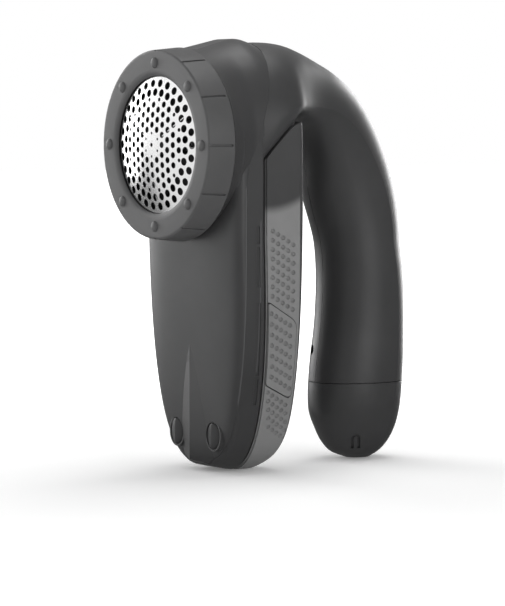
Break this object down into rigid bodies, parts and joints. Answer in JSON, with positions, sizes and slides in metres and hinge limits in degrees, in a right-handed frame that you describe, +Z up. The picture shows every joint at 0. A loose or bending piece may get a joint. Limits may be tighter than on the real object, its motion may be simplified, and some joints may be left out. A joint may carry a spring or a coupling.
{
  "type": "electric fabric shaver",
  "caption": "Hand-held battery shaver for lint on fabric: a round perforated foil on an arm with a lint box behind, and an arched handle over it.",
  "frame": {"origin": "on the floor under the middle of the overall box, shaver standing on the foot of its arm and on its battery cap", "axes": "+X to the shaver's right side, +Y backwards from the foil to the handle, +Z up"},
  "size_m": [0.088, 0.1408, 0.1983],
  "materials": {
    "dark_plastic": "satin",
    "ring_plastic": "satin",
    "box_plastic": "satin",
    "inner_plastic": "matt",
    "steel": "bright",
    "cell_wrap": "coated"
  },
  "bodies": {
    "shaver": {"front_cover": "dark_plastic", "glide_stud_left": "inner_plastic", "glide_stud_right": "inner_plastic", "housing_right": "dark_plastic", "housing_left": "dark_plastic", "case_screw_1": "steel", "case_screw_2": "steel", "case_screw_3": "steel", "case_screw_4": "steel", "cutter_chamber": "inner_plastic", "motor_can": "steel", "motor_end_cap": "inner_plastic", "motor_screw_left": "steel", "motor_screw_right": "steel", "switch_body": "inner_plastic", "power_inlet": "inner_plastic", "battery_cradle": "inner_plastic", "cell_lower": "cell_wrap", "cell_upper": "cell_wrap", "contact_plate": "steel"},
    "foil_unit": {"guard_ring": "ring_plastic", "foil": "steel", "foil_frame": "inner_plastic"},
    "cutter": {"cutter_hub": "inner_plastic", "cutter_blade_1": "steel", "cutter_blade_2": "steel", "cutter_blade_3": "steel", "cutter_spring": "steel", "motor_shaft": "steel"},
    "lint_container": {"lint_box": "box_plastic"},
    "button_right": {"release_button_right": "box_plastic"},
    "button_left": {"release_button_left": "box_plastic"},
    "switch_knob": {"power_slide": "inner_plastic"},
    "end_cap": {"battery_cap": "dark_plastic", "cap_spring": "steel"}
  },
  "joints": [
    {"name": "guard_ring_turn", "type": "hinge", "parent": "shaver", "child": "foil_unit", "pos_m": [0, -0.0687, 0.1495], "axis": [0, -1, 0], "range_deg": [0, 25]},
    {"name": "cutter_spin", "type": "hinge", "parent": "shaver", "child": "cutter", "pos_m": [0, -0.0687, 0.1495], "axis": [0, -1, 0], "continuous": true},
    {"name": "lint_box_slide", "type": "slide", "parent": "shaver", "child": "lint_container", "axis": [0, 0.028, -0.9996], "range_m": [0, 0.15]},
    {"name": "release_button_right_press", "type": "slide", "parent": "lint_container", "child": "button_right", "axis": [-1, 0, 0], "range_m": [0, 0.0016], "stiffness_N_per_m": 800, "springref_m": -0.002},
    {"name": "release_button_left_press", "type": "slide", "parent": "lint_container", "child": "button_left", "axis": [1, 0, 0], "range_m": [0, 0.0016], "stiffness_N_per_m": 800, "springref_m": -0.002},
    {"name": "power_switch_slide", "type": "slide", "parent": "shaver", "child": "switch_knob", "axis": [0, 0.4101, -0.912], "range_m": [0, 0.003]},
    {"name": "battery_cap_slide", "type": "slide", "parent": "shaver", "child": "end_cap", "axis": [0, 0, -1], "range_m": [0, 0.03]}
  ]
}
